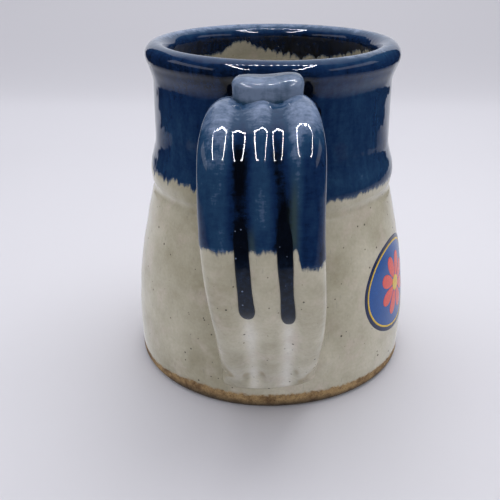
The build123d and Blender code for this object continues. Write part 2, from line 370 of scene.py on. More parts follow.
def inside(s):
    """(radius, height) from the crest of the rim down to the middle of the floor."""
    bead_end = on_bead(s, 202)
    neck = (s.collar_radius - s.wall, s.height - 12 * MM)
    neck_low = (neck[0], s.ring_height + 5.9 * MM)
    belly = (s.foot_radius - s.wall - 0.65 * MM, neck_low[1] - 36 * MM)
    corner = 11 * MM
    heel = (belly[0], s.floor + corner)
    floor_edge = (belly[0] - corner, s.floor)
    bend = corner * math.sqrt(0.5)
    middle = (CENTRE_HOLE, s.floor)
    return np.concatenate([
        arc(on_bead(s, 90), on_bead(s, 146), bead_end, 0.55 * MM),
        arc(bead_end, between(bead_end, neck, 0.04 * MM), neck),
        straight(neck, neck_low, 1.6 * MM),
        arc(neck_low, between(neck_low, belly, 0.8 * MM), belly, 2 * MM),
        straight(belly, heel, 3 * MM),
        arc(heel, (floor_edge[0] + bend, heel[1] - bend), floor_edge, 1.5 * MM),
        straight(floor_edge, middle, 3 * MM),
        np.array([middle]),
    ])


def underside(s):
    """(radius, height) from the middle of the recessed base out to the foot's edge."""
    step, recess = s.foot_radius - 10 * MM, 1.6 * MM
    end, side, ring = (step - 1 * MM, recess), (step, recess - 1 * MM), (step + 0.5 * MM, 0)
    return np.concatenate([
        straight((CENTRE_HOLE, recess), end, 4 * MM),
        arc(end, (step - 0.2 * MM, recess - 0.3 * MM), side, 0.4 * MM),
        straight(side, ring, 0.5 * MM),
        straight(ring, (s.foot_radius - s.foot_round, 0), 2.5 * MM),
    ])


class Wall:
    """The pot's half section, measured along its surface from the foot's edge outside."""

    def __init__(self, s):
        outer, inner = outside(s), inside(s)
        self.points = np.concatenate([outer, inner[1:]])
        steps = np.linalg.norm(np.diff(self.points, axis=0), axis=1)
        self.along = np.concatenate([[0], np.cumsum(steps)])
        self.crest = self.along[len(outer) - 1]
        slope = slopes(self.points, self.along)
        self.normals = np.stack([slope[:, 1], -slope[:, 0]], axis=1)
        self.outer = len(outer)

    def place(self, along):
        """Radius, height and outward normal at a distance along the section."""
        columns = (*self.points.T, *self.normals.T)
        return [np.interp(along, self.along, column) for column in columns]

    def outside_at(self, height):
        """Distance along the section of a height outside, below the rim's widest line."""
        return np.interp(height, self.points[:self.outer, 1], self.along[:self.outer])

    def inside_at(self, height):
        """Distance along the section of a height inside, above the belly."""
        return np.interp(-height, -self.points[self.outer - 1:, 1], self.along[self.outer - 1:])


def fingermarks(angle, height, marks):
    """How deep or how high, in millimetres, fingers left their marks at a place on the pot."""
    around = front_angle(angle)
    return sum(deep * bump(around, turn, wide) * bump(height, up * MM, FINGERTIP)
               for turn, wide, up, deep in marks)


def hand_of_the_wheel(angle, height, outer=1.0):
    """How far out the thrown surface lies from a true turned one, a little inside it on the whole.

    It has throwing rings and slow dents, it is not quite round, and outside it has the hollows
    beside the thumb rest."""
    rings = (0.025 * np.sin(height / (1.9 * MM) + angle)
             + 0.02 * np.sin(height / (1.3 * MM) - angle))
    unround = 0.10 * np.sin(2 * angle + 0.8) + 0.06 * np.sin(3 * angle + 2.0)
    dents = 0.05 * np.sin(height / (8.5 * MM) + 2.0 * np.sin(angle))
    hollows = fingermarks(angle, height, BESIDE_REST)
    return (rings + unround + dents - SHRUNK - outer * hollows) * MM


def drips(angle, groups, radius):
    """How far small runs of glaze reach below a dip line, by their groups round the pot."""
    reach = np.zeros_like(angle)
    for seed, count, centre, spread, longest, width in groups:
        random = np.random.default_rng(seed)
        places = centre + spread * random.uniform(-1, 1, count)
        lengths = longest * MM * random.uniform(0.25, 1, count) ** 1.5
        widths = width * MM * random.uniform(0.6, 1.4, count) / radius
        for place, long, wide in zip(places, lengths, widths):
            reach = np.maximum(reach, long * bump(half_turned(angle - place), 0, wide))
    return reach


def half_turned(angle):
    """The same angle between half a turn back and half a turn on."""
    return (angle + math.pi) % (2 * math.pi) - math.pi


def front_angle(angle):
    """Angle from the handle's side, growing toward +X, of an angle measured from +X."""
    return half_turned(angle + math.pi / 2)


def back_angle(angle):
    """Angle from the side away from the handle, growing toward +X."""
    return half_turned(math.pi / 2 - angle)


def outer_dip(angle, s):
    """Height of the cobalt glaze's lower edge outside."""
    around = front_angle(angle)
    line = s.dip_line - 2.0 * MM * np.sin(around) + 0.45 * MM * wave(around, 3, 3, 9)
    fine = 0.16 * MM * wave(around, 4, 60, 120, 12) + 0.12 * MM * wave(around, 14, 130, 210, 12)
    return line + fine - drips(around, OUTER_RUNS, s.ring_radius)


def inner_dip(angle, s):
    """Height of the cobalt glaze's lower edge inside."""
    around = back_angle(angle)
    line = s.inner_line + 0.4 * MM * wave(around, 8, 3, 8)
    line = line - 1.0 * MM * eased(around, -0.12, 0.05) * (1 - eased(around, 0.6, 0.9))
    arch = 3.7 * MM * np.exp(-((around + 0.35) / 0.155) ** 4)
    rise = 3.6 * MM * bump(around, 1.25, 0.42)
    tongue = 1.4 * MM * bump(around, 0.30, 0.06)
    fine = 0.2 * MM * wave(around, 9, 50, 100, 12)
    return line + arch + rise - tongue + fine - drips(around, INNER_RUNS, s.collar_radius)


def turned_points(radius, height, angle):
    """Points at a radius and a height round the pot's axis."""
    radius, height, angle = np.broadcast_arrays(radius, height, angle)
    return np.stack([radius * np.cos(angle), radius * np.sin(angle), height], axis=-1)


# ---------------------------------------------------------------- materials

# Sockets of a Mix node that mixes colours, which have no names of their own.
FACTOR, UNDER, OVER, MIXED = 0, 6, 7, 2


def add_node(tree, kind, sockets=None, stops=(), **settings):
    """Adds one shader node and sets it up.

    A socket takes a value, the socket of another node, or a node, which gives its first output."""
    made = tree.nodes.new(kind)
    for key, value in settings.items():
        setattr(made, key, value)
    for key, value in (sockets or {}).items():
        if isinstance(value, bpy.types.Node):
            value = value.outputs[0]
        if isinstance(value, bpy.types.NodeSocket):
            tree.links.new(value, made.inputs[key])
        else:
            made.inputs[key].default_value = value
    for index, (place, tint) in enumerate(stops):
        elements = made.color_ramp.elements
        stop = elements[index] if index < 2 else elements.new(place)
        stop.position, stop.color = place, tint
    return made


def new_material(name):
    """An empty node material with its shader tree."""
    material = bpy.data.materials.new(name)
    material.use_nodes = True
    material.node_tree.nodes.clear()
    return material, material.node_tree


def grey_glazed_stoneware():
    """Warm grey stoneware glaze, dipped and fired: glassy, cloudy, with melted iron specks.

    Below the foot line the clay is bare: dull, grainy and browned by the fire, with painted shade
    along its lowest edge."""
    c = colours()
    material, tree = new_material("grey_glazed_stoneware")
    place = add_node(tree, "ShaderNodeTexCoord").outputs["Object"]
    cloud, blush, grain, ripple = (
        add_node(tree, "ShaderNodeTexNoise",
                 {"Vector": place, "Scale": 1 / (size * MM), "Detail": detail, "Roughness": rough})
        for size, detail, rough in ((22, 4, 0.6), (9, 3, 0.6), (0.9, 2, 0.5), (6, 2, 0.5)))
    shade = add_node(tree, "ShaderNodeAttribute", attribute_name="shade")
    # this level mixes random clouds with painted shade and painted sheen from the shade attribute:
    # above zero it darkens toward the deep tone, below zero it lightens toward milky
    thick = add_node(tree, "ShaderNodeMath", {0: shade.outputs["Fac"], 1: -0.22, 2: cloud},
                     operation="MULTIPLY_ADD")
    tone = add_node(tree, "ShaderNodeValToRGB", {"Fac": thick},
                    [(0.20, c.grey_shade), (0.90, c.grey_milky_and_sheen), (0.60, c.grey_glaze)])
    warm = add_node(tree, "ShaderNodeMapRange",
                    {"Value": blush, "From Min": 0.52, "From Max": 0.72, "To Max": 0.55})
    lively = add_node(tree, "ShaderNodeMapRange",
                      {"Value": grain, "From Min": 0.3, "From Max": 0.7,
                       "To Min": 0.94, "To Max": 1.04})
    bare, clay = bare_foot(tree, place)
    coat = tone.outputs[0]
    for mask, tint, how in ((warm, c.grey_blush, "MIX"),
                            (1.0, lively, "MULTIPLY"),
                            (round_spots(tree, place, 2.4 * MM, 0.20), c.iron, "MIX"),
                            (cobalt_feather(tree, place), c.cobalt_mid, "MIX"),
                            (bare, clay, "MIX")):
        coat = add_node(tree, "ShaderNodeMix", {FACTOR: mask, UNDER: coat, OVER: tint},
                        data_type="RGBA", blend_type=how).outputs[MIXED]
    rough = add_node(tree, "ShaderNodeMapRange", {"Value": bare, "To Min": 0.10, "To Max": 0.85})
    melt = add_node(tree, "ShaderNodeBump",
                    {"Strength": 0.5, "Distance": 0.10 * MM, "Height": ripple})
    grit = add_node(tree, "ShaderNodeMath", {0: bare, 1: grain}, operation="MULTIPLY")
    surface = add_node(tree, "ShaderNodeBump",
                       {"Strength": 0.8, "Distance": 0.15 * MM, "Height": grit, "Normal": melt})
    shader = add_node(tree, "ShaderNodeBsdfPrincipled",
                      {"Base Color": coat, "Roughness": rough, "IOR": 1.5, "Normal": surface})
    add_node(tree, "ShaderNodeOutputMaterial", {"Surface": shader})
    return material


def cobalt_feather(tree, place):
    """A mask of fine streaks where the cobalt glaze bled into the grey one below its edge."""
    stain = add_node(tree, "ShaderNodeAttribute", attribute_name="stain")
    drawn = add_node(tree, "ShaderNodeMapping", {"Vector": place, "Scale": (1, 1, 0.2)})
    streak = add_node(tree, "ShaderNodeTexNoise",
                      {"Vector": drawn, "Scale": 1 / (0.8 * MM), "Detail": 3.0})
    shift = add_node(tree, "ShaderNodeMapRange",
                     {"Value": streak, "From Min": 0.3, "From Max": 0.7,
                      "To Min": -0.45, "To Max": 0.25})
    level = add_node(tree, "ShaderNodeMath", {0: stain.outputs["Fac"], 1: shift}, operation="ADD")
    return add_node(tree, "ShaderNodeMapRange",
                    {"Value": level, "From Min": 0.15, "From Max": 0.85, "To Max": 0.9}).outputs[0]


def round_spots(tree, place, cell, widest):
    """A mask of scattered round spots, one to a cell, of radius up to a share of the cell."""
    cells = add_node(tree, "ShaderNodeTexVoronoi",
                     {"Vector": place, "Scale": 1 / cell, "Randomness": 1.0})
    draw = add_node(tree, "ShaderNodeSeparateColor", {"Color": cells.outputs["Color"]})
    reach = add_node(tree, "ShaderNodeMapRange",
                     {"Value": draw, "From Min": 0.30, "From Max": 1.0,
                      "To Min": 0.0, "To Max": widest})
    edge = add_node(tree, "ShaderNodeMath", {0: reach, 1: cells.outputs["Distance"]},
                    operation="SUBTRACT")
    return add_node(tree, "ShaderNodeMapRange",
                    {"Value": edge, "From Min": 0.0, "From Max": 0.06, "To Max": 0.8}).outputs[0]


def bare_foot(tree, place):
    """A mask of the unglazed foot and the colour of its browned clay, with painted shade along its
    lowest edge.
    """
    c = colours()
    line = add_node(tree, "ShaderNodeAttribute", attribute_name="bare").outputs["Fac"]
    ragged, flash = (
        add_node(tree, "ShaderNodeTexNoise",
                 {"Vector": place, "Scale": 1 / (size * MM), "Detail": detail, "Roughness": rough})
        for size, detail, rough in ((1.6, 4, 0.7), (5, 5, 0.75)))
    shift = add_node(tree, "ShaderNodeMapRange",
                     {"Value": ragged, "To Min": -1.6, "To Max": 1.6})
    level = add_node(tree, "ShaderNodeMath", {0: line, 1: shift}, operation="ADD")
    mask = add_node(tree, "ShaderNodeMapRange",
                    {"Value": level, "From Min": -0.4, "From Max": 0.6})
    clay = add_node(tree, "ShaderNodeValToRGB", {"Fac": flash},
                    [(0.38, c.burnt_clay), (0.58, c.bare_clay)])
    sand = add_node(tree, "ShaderNodeTexVoronoi", {"Vector": place, "Scale": 1 / (0.65 * MM)})
    dark = add_node(tree, "ShaderNodeMapRange",
                    {"Value": sand.outputs["Distance"], "From Min": 0.12, "From Max": 0.3,
                     "To Min": 0.35, "To Max": 1.0})
    # painted shade: the clay darkens toward the foot's lowest edge, where it turns under
    low = add_node(tree, "ShaderNodeMapRange",
                   {"Value": line, "From Min": 1.9, "From Max": 4.0,
                    "To Min": 1.0, "To Max": 0.20})
    toasted_and_shaded = clay.outputs[0]
    for darker in (dark, low):
        toasted_and_shaded = add_node(tree, "ShaderNodeMix", {FACTOR: 1.0, UNDER: toasted_and_shaded, OVER: darker},
                           data_type="RGBA", blend_type="MULTIPLY").outputs[MIXED]
    return mask.outputs[0], toasted_and_shaded


def cobalt_glaze():
    """Cobalt and rutile glaze, dipped over the grey: glassy, navy where deep, milky where thin."""
    c = colours()
    material, tree = new_material("dipped_cobalt_glaze")
    place = add_node(tree, "ShaderNodeTexCoord").outputs["Object"]
    depth = add_node(tree, "ShaderNodeAttribute", attribute_name="depth").outputs["Fac"]
    rutile = add_node(tree, "ShaderNodeAttribute", attribute_name="rutile")
    # streaks drawn out downward, then mottling drawn out sideways
    for stretch, size, detail, rough, reach in (((1, 1, 0.3), 2.4, 4, 0.65, 0.13),
                                                ((0.35, 1, 1), 1.1, 3, 0.7, 0.09)):
        drawn = add_node(tree, "ShaderNodeMapping", {"Vector": place, "Scale": stretch})
        noise = add_node(tree, "ShaderNodeTexNoise",
                         {"Vector": drawn, "Scale": 1 / (size * MM), "Detail": detail,
                          "Roughness": rough})
        shift = add_node(tree, "ShaderNodeMapRange",
                         {"Value": noise, "From Min": 0.25, "From Max": 0.75,
                          "To Min": -reach, "To Max": reach})
        depth = add_node(tree, "ShaderNodeMath", {0: depth, 1: shift}, operation="ADD").outputs[0]
    tone = add_node(tree, "ShaderNodeValToRGB", {"Fac": depth},
                    [(0.05, c.cobalt_thin), (0.95, c.cobalt_pool),
                     (0.36, c.cobalt_mid), (0.68, c.cobalt_deep)])
    olive = add_node(tree, "ShaderNodeMix",
                     {FACTOR: rutile.outputs["Fac"], UNDER: tone, OVER: c.rutile},
                     data_type="RGBA")
    ripple = add_node(tree, "ShaderNodeTexNoise",
                      {"Vector": place, "Scale": 1 / (5 * MM), "Detail": 2.0})
    melt = add_node(tree, "ShaderNodeBump",
                    {"Strength": 0.5, "Distance": 0.10 * MM, "Height": ripple})
    shader = add_node(tree, "ShaderNodeBsdfPrincipled",
                      {"Base Color": olive.outputs[MIXED], "Roughness": 0.05, "IOR": 1.55,
                       "Normal": melt})
    add_node(tree, "ShaderNodeOutputMaterial", {"Surface": shader})
    return material


def pooled_cobalt():
    """Cobalt glaze thick enough to run: almost black-blue, with pinholes where gas burst out, pale
    as thin glaze and as painted glints.
    """
    c = colours()
    material, tree = new_material("pooled_cobalt_glaze")
    place = add_node(tree, "ShaderNodeTexCoord").outputs["Object"]
    mottle = add_node(tree, "ShaderNodeTexNoise",
                      {"Vector": place, "Scale": 1 / (1.3 * MM), "Detail": 3.0})
    depth = add_node(tree, "ShaderNodeAttribute", attribute_name="depth")
    navy = add_node(tree, "ShaderNodeValToRGB", {"Fac": mottle},
                    [(0.35, c.run_navy), (0.7, c.run_blue)])
    coat, pinhole_and_glint = navy.outputs[0], round_spots(tree, place, 1.5 * MM, 0.22)
    # pinholes: pale as thin glaze and as a painted glint
    for mask, tint in ((depth.outputs["Fac"], c.cobalt_pool), (pinhole_and_glint, c.cobalt_thin)):
        coat = add_node(tree, "ShaderNodeMix", {FACTOR: mask, UNDER: coat, OVER: tint},
                        data_type="RGBA").outputs[MIXED]
    pit = add_node(tree, "ShaderNodeBump",
                   {"Strength": 0.8, "Distance": 0.2 * MM, "Height": pinhole_and_glint}, invert=True)
    shader = add_node(tree, "ShaderNodeBsdfPrincipled",
                      {"Base Color": coat, "Roughness": 0.08, "IOR": 1.55, "Normal": pit})
    add_node(tree, "ShaderNodeOutputMaterial", {"Surface": shader})
    return material


def fired_enamel(name):
    """Overglaze enamel, printed and fired on: smooth, fine-grained, a little duller than glaze."""
    material, tree = new_material(name)
    place = add_node(tree, "ShaderNodeTexCoord").outputs["Object"]
    grain = add_node(tree, "ShaderNodeTexNoise",
                     {"Vector": place, "Scale": 1 / (0.7 * MM), "Detail": 2.0})
    shade = add_node(tree, "ShaderNodeMapRange",
                     {"Value": grain, "From Min": 0.3, "From Max": 0.7,
                      "To Min": 0.86, "To Max": 1.06})
    coat = add_node(tree, "ShaderNodeMix",
                    {FACTOR: 1.0, UNDER: getattr(colours(), name), OVER: shade},
                    data_type="RGBA", blend_type="MULTIPLY")
    shader = add_node(tree, "ShaderNodeBsdfPrincipled",
                      {"Base Color": coat.outputs[MIXED], "Roughness": 0.18, "IOR": 1.5})
    add_node(tree, "ShaderNodeOutputMaterial", {"Surface": shader})
    return material


def shared(name, maker, *values):
    """The material of that name, made once."""
    return bpy.data.materials.get(name) or maker(*values)


# ---------------------------------------------------------------- the pot

# The cobalt glaze has a thick lip along its edge.
EDGE_STEPS = np.array([0, 0.08, 0.2, 0.4, 0.7, 1.1, 1.7, 2.5])[:, None] * MM   # rings of points
LIP = 0.11 * MM             # how much thicker it is there
TUCK = 0.03 * MM            # how far the very edge goes into the glaze under it
HIDDEN_STEP = 4             # its hidden side has every fourth ring
NEVER_BARE = -9.0           # millimetres from the foot line, where the grey glaze is whole
INSIDE_PAINTED_SHADE = 0.6          # painted shade on the grey glaze inside the pot


def lipped(inward):
    """How far the cobalt glaze swells near its edge, by distance in from the edge."""
    lip = LIP * eased(inward, 0, 0.35 * MM) * (1 - eased(inward, 1.0 * MM, 6 * MM))
    return lip - TUCK * (inward <= 0)


def coat_of_cobalt(name, node, top, under, **paints):
    """A closed coat of cobalt glaze from its seen side and its hidden side."""
    points = np.concatenate([top, under[::-HIDDEN_STEP]])
    paints = {key: np.concatenate([value, value[::-HIDDEN_STEP]])
              for key, value in paints.items()}
    coat = skin(name, points, shared("dipped_cobalt_glaze", cobalt_glaze),
                wrap_rows=True, **paints)
    finish_piece(coat, COBALT_SLOT, node)


def covered(wall, along, angle, s):
    """How far inside the cobalt glaze's edges a place on the pot lies, along the surface."""
    low = wall.outside_at(outer_dip(angle, s))
    high = wall.inside_at(inner_dip(angle, s))
    return np.minimum(along - low, high - along)


class MUG_OT_body(bpy.types.Operator):
    """Builds the thrown pot under its grey glaze, with the bare foot"""

    bl_idname = "mug.body"
    bl_label = "Thrown Body"

    def execute(self, context):
        s = sizes()
        wall = Wall(s)
        angle = circle(384)[None, :]
        around, along = front_angle(angle), wall.along[:, None]
        r, z, nr, nz = wall.place(along)
        outer = along < wall.crest
        inside_edge = covered(wall, along, angle, s)
        line = s.foot_line + 0.5 * MM * wave(angle, 11, 3, 9)
        bare = np.where(outer, line - z, NEVER_BARE * MM)
        sunk = (s.glaze * eased(inside_edge, 0, 3 * MM)
                + 0.18 * MM * eased(bare, -0.5 * MM, 0.5 * MM))
        thrown = hand_of_the_wheel(angle, z, outer) * eased(z, 0, 6 * MM)
        pressed = fingermarks(angle, z, BESIDE_FOOT)
        splay = 0.5 * bump(around, -0.3, 0.6) * (1 - eased(z, 1 * MM, 9 * MM))
        shift = thrown - sunk + (pressed + splay) * MM * outer
        points = turned_points(r + nr * shift, np.maximum(z + nz * shift, 0) * (z > 0), angle)
        base = underside(s)
        below = turned_points(base[:, :1], base[:, 1:], angle)
        clear = np.zeros(below.shape[:2])
        stain = eased(inside_edge, -1.5 * MM, 0.2 * MM)
        # painted shade: the grey glaze darkens beside the handle, most on its left, where the
        # handle shades the belly
        shade = 1.0 * bump(around, -0.62, 0.34) + 0.3 * bump(around, 0.42, 0.2) + 0 * z
        body = skin("thrown_body_glazed", np.concatenate([below, points]),
                    shared("grey_glazed_stoneware", grey_glazed_stoneware),
                    bare=np.concatenate([clear + 1, bare / MM]),
                    stain=np.concatenate([clear, stain]),
                    shade=np.concatenate([clear, np.where(outer, shade, INSIDE_PAINTED_SHADE)]))
        finish_piece(body, CLAY_SLOT, "thrown_body")
        return {"FINISHED"}


class MUG_OT_collar_glaze(bpy.types.Operator):
    """Builds the cobalt glaze over the collar and the rim, down to its ragged dip lines"""

    bl_idname = "mug.collar_glaze"
    bl_label = "Collar Glaze"

    def execute(self, context):
        s = sizes()
        wall = Wall(s)
        angle = circle(640)[None, :]
        low = wall.outside_at(outer_dip(angle, s))
        high = wall.inside_at(inner_dip(angle, s))
        share = np.linspace(0, 1, 78)[1:-1, None]
        start, end = low + EDGE_STEPS[-1], high - EDGE_STEPS[-1]
        along = np.concatenate([low + EDGE_STEPS, start + (end - start) * share,
                                high - EDGE_STEPS[::-1]])
        r, z, nr, nz = wall.place(along)
        inward = np.minimum(along - low, high - along)
        thrown = hand_of_the_wheel(angle, z, along < wall.crest)
        top, under = (turned_points(r + nr * shift, z + nz * shift, angle)
                      for shift in (thrown + lipped(inward), thrown - s.glaze - 0.5 * MM))
        depth = collar_depth(angle, z, along - wall.crest, inward, s)
        coat_of_cobalt("collar_cobalt_glaze", "collar_glaze", top, under,
                       depth=depth, rutile=np.zeros_like(depth))
        return {"FINISHED"}


def collar_depth(angle, z, past_crest, inward, s):
    """How deep the cobalt glaze looks on the pot: thin on the rim's crest, deep on the collar, and
    darker inside and in the hollows beside the thumb rest as painted shade.
    """
    thin_crest = 0.30 + 0.20 * eased(np.sin(angle), -0.2, 0.9)
    crest = 1.5 * MM * eased(np.sin(angle), 0, 1)
    return (0.66 + 0.05 * wave(angle, 12, 2, 6)
            - thin_crest * bump(past_crest, crest, 3.2 * MM)
            + 0.12 * bump(past_crest, -8 * MM, 4 * MM)
            - 0.10 * bump(z, s.ring_height + 5 * MM, 2.5 * MM)
            - 0.22 * bump(front_angle(angle), -0.85, 0.3) * bump(past_crest, -30 * MM, 14 * MM)
            # painted shade: darker inside the pot
            + 0.18 * eased(past_crest, 2 * MM, 8 * MM)
            # painted shade: darker in the hollows beside the thumb rest, where the handle shades
            # the collar
            + 0.7 * fingermarks(angle, z, BESIDE_REST) / HOLLOW
            - 0.14 * (1 - eased(inward, 0, 0.7 * MM)))


# ---------------------------------------------------------------- the handle

# The strap's outer face from collar to foot: shares of its reach and of its drop from the crown.
STRAP_LINE = ((-0.086, 0.062), (0.2, 0.02), (0.475, 0.0), (0.755, 0.048), (0.942, 0.13),
              (0.998, 0.24), (0.995, 0.41), (0.942, 0.518), (0.838, 0.622), (0.61, 0.785),
              (0.375, 0.925), (0.302, 0.968), (0.270, 0.989), (0.250, 0.998), (0.218, 1.0))

# Places across the strap in millimetres, and how deep it is there: 1 is the bottom of a flute.
NEAR_CROWN = ((-24, -11.1, -5.9, 0.0, 4.1, 10.7, 24), (0.6, -0.13, 1, 0.25, 0.97, -0.37, 0.4))
BELOW_CROWN = ((-24, -11.3, -5.6, 0.2, 6.0, 11.4, 24), (0.7, 0, 1, 0, 1, 0, 0.7))

# Marks where fingertips pressed the strap on to the belly: sideways, how wide, up from its end
# and how tall, in millimetres.
FINGERTIPS = ((-7.1, 1.0, 8, 3), (-2.3, 1.3, 11, 2.5), (8.3, 1.1, 13, 4))


class Strap:
    """The pulled handle: the line of its outer face and its three-ribbed section."""

    def __init__(self, s):
        self.s = s
        crown = STRAP_HIGH.z + 0.45 * MM
        drop = crown - (STRAP_LOW.z - 0.7 * MM)
        reach = -SKIN_LOW.y - s.collar_radius
        knots = [(-(s.collar_radius + reach * across), crown - drop * down)
                 for across, down in STRAP_LINE]
        line, self.along = bent_line(knots, 0.5 * MM)
        self.y, self.z = line.T
        self.length = self.along[-1]
        slope = slopes(line, self.along)
        self.out_y, self.out_z = slope[:, 1], -slope[:, 0]
        self.top = np.argmax(self.z)

    def place(self, along):
        """Y and z of the line at a distance along it, and its outward direction."""
        columns = (self.y, self.z, self.out_y, self.out_z)
        return [np.interp(along, self.along, column) for column in columns]

    def row_at(self, height):
        """Distance along the strap where it comes down past a height."""
        return np.interp(-height, -self.z[self.top:], self.along[self.top:])

    def width(self, along):
        """Across the strap: narrow at the collar, widest in front, narrower again at the foot."""
        part = along / self.length
        return (self.s.strap_width - 8 * MM * (1 - eased(part, 0.02, 0.3))
                - 2.8 * MM * eased(part, 0.62, 0.97))

    def thick(self, along):
        """Through the strap, thinned where it is pressed on to the belly."""
        part = along / self.length
        return (self.s.strap_thickness - 1.4 * MM * eased(part, 0.70, 0.88)
                - 5.2 * MM * eased(along, self.length - 9 * MM, self.length - 1 * MM))

    def lean(self, along):
        """How far the strap stands to one side of the mug's middle."""
        part = along / self.length
        return -2.5 * MM * eased(part, 0.0, 0.14) * (1 - eased(part, 0.40, 0.80))

    def flutes(self, along, x):
        """Two hollow flutes between three ribs: 0 on a rib's crest, 1 at the bottom of a flute.

        Near the crown the middle rib is lower and the right flute stands closer to it."""
        high, low = waved(x, *NEAR_CROWN), waved(x, *BELOW_CROWN)
        return high + (low - high) * self.below_crown(along)

    def below_crown(self, along):
        """0 up to the crown and 1 where the strap hangs down in front."""
        return eased(along, 42 * MM, 62 * MM)

    def at_full_width(self, along, x):
        """The same place across the strap as if it had its full width there."""
        return x * (self.s.strap_width / self.width(along))

    def hollow(self, along, x):
        """How far the outer face lies in: flutes, crown, wrinkles of pulling and fingertips."""
        started = eased(along, 1 * MM, 15 * MM)
        ended = 1 - eased(self.length - along, 2 * MM, 10 * MM)
        depth = self.s.flute_depth * started * (1 - 0.85 * ended)
        wrinkle = np.sin(along / (0.75 * MM) + 180 * x + 0.8 * np.sin(500 * x))
        return (depth * self.flutes(along, self.at_full_width(along, x))
                + 0.45 * MM * (x / (17 * MM)) ** 2
                + 0.010 * MM * wrinkle * bump(along, 24 * MM, 13 * MM)
                + 0.07 * MM * np.sin(along / (8 * MM) + 90 * x)
                - 0.03 * x * started * (1 - self.below_crown(along))
                + 0.35 * MM * self.pressed(along, x))

    def pressed(self, along, x):
        """How strongly, 0 to 1, fingertips pressed the strap on to the belly."""
        up = self.length - along
        return sum(bump(x, side * MM, wide * MM) * bump(up, high * MM, tall * MM)
                   for side, wide, high, tall in FINGERTIPS)

    def section(self, top_count, edge_count):
        """Each point of a section: share across the flat, then sideways and outward directions."""
        turns = np.linspace(0, math.pi, edge_count + 2)[1:-1]
        top = [(x, 0.0, 1.0) for x in np.linspace(-1, 1, top_count)]
        right = [(1.0, math.sin(t), math.cos(t)) for t in turns]
        back = [(x, 0.0, -1.0) for x in np.linspace(1, -1, top_count // 2)]
        left = [(-1.0, -math.sin(t), -math.cos(t)) for t in turns]
        return np.array(top + right + back + left).T[:, None, :]

    def surface(self, along, section, grow=0.0):
        """Points of the strap's skin, moved out by grow, and their places across the strap."""
        across, side, up = section
        half = self.thick(along) / 2
        flat = self.width(along) / 2 - half
        x = across * flat + side * (half + grow)
        face, back = np.maximum(up, 0), np.maximum(-up, 0)
        rise = (up * (half + grow) - half - face * self.hollow(along, x)
                - 0.6 * MM * back * (1 - across ** 2))
        y, z, out_y, out_z = self.place(along)
        # its first millimetres stand upright against the collar, and both ends hug the wall
        upright = (-0.36 * rise * (1 - eased(along, 0, 7 * MM))
                   - 1.4 * MM * (1 - eased(along, 0, 6 * MM)))
        hugging = (1 - eased(along, 0, 9 * MM)
                   + eased(along, self.length - 20 * MM, self.length - 3 * MM))
        wall = 45 * MM
        y = y + out_y * rise + upright + hugging * (wall - np.sqrt(wall ** 2 - x ** 2))
        z = z + out_z * rise
        spread = self.spread(np.hypot(x, y) - self.s.collar_radius, z)
        aside = x + spread * side + spread * across * 0.35
        # the foot's lower edge runs a little askew and turns up at its corners
        tilt = 0.085 * aside + 1.0 * MM * (aside / (15.6 * MM)) ** 4
        tilt = tilt * eased(along, self.length - 9 * MM, self.length)
        points = np.stack([aside + self.lean(along), y + out_y * spread * up,
                           z + out_z * spread * up + tilt], axis=-1)
        return points, x

    def spread(self, clear, height):
        """Clay smoothed on to the collar round the strap: a hollow curve, wider at the wall."""
        reach, widest = 4.5 * MM, 1.5 * MM
        near = np.clip(1 - clear / reach, 0, 1)
        upper = eased(height, 84 * MM, 92 * MM)
        return widest * upper * (1 - np.sqrt(1 - near ** 2 * 0.999))


def strap_dip(x, up, s):
    """Height of the cobalt glaze's lower edge on the handle: lower on the outer right rib."""
    fine = sum(high * np.sin(x / (long * MM) + start) for high, long, start in (
        (0.315, 0.62, 0), (0.245, 0.37, 1.3), (0.3, 1.3, 0.4), (0.22, 0.17, 0)))
    outer_rib = eased(x, 9.3 * MM, 10.2 * MM) * eased(up, -0.8, 0.2)
    return s.dip_line + (fine - 0.4 - 4.7 * outer_rib) * MM


class MUG_OT_handle(bpy.types.Operator):
    """Builds the pulled strap under its grey glaze, smoothed on to the collar and the foot"""

    bl_idname = "mug.handle"
    bl_label = "Handle"

    def execute(self, context):
        s = sizes()
        strap = Strap(s)
        section = strap.section(top_count=57, edge_count=11)
        body = np.arange(0, strap.length - 5 * MM, 0.75 * MM)
        tip = np.linspace(strap.length - 5 * MM, strap.length, 20)
        along = np.concatenate([body, tip])[:, None]
        x = strap.surface(along, section)[1]
        edge = strap.row_at(strap_dip(x, section[2], s))
        sunk = -s.glaze * eased(edge - along, 0, 3 * MM)
        points, x = strap.surface(along, section, sunk)
        stain = eased(edge - along, -1.5 * MM, 0.2 * MM)
        flute = strap.flutes(along, strap.at_full_width(along, x))
        # painted shade and painted reflection: the strap is darker all over and in its fingertip
        # dents, and its flute bottoms near the foot are lighter as a painted reflection
        shade = (0.40 - 1.9 * flute ** 2 * eased(along, 88 * MM, 104 * MM)
                 + 0.9 * strap.pressed(along, x))
        piece = skin("strap_handle_glazed", points,
                     shared("grey_glazed_stoneware", grey_glazed_stoneware),
                     bare=NEVER_BARE, stain=stain, shade=shade)
        finish_piece(piece, CLAY_SLOT, "strap_handle", "upper_weld", "lower_weld")
        return {"FINISHED"}


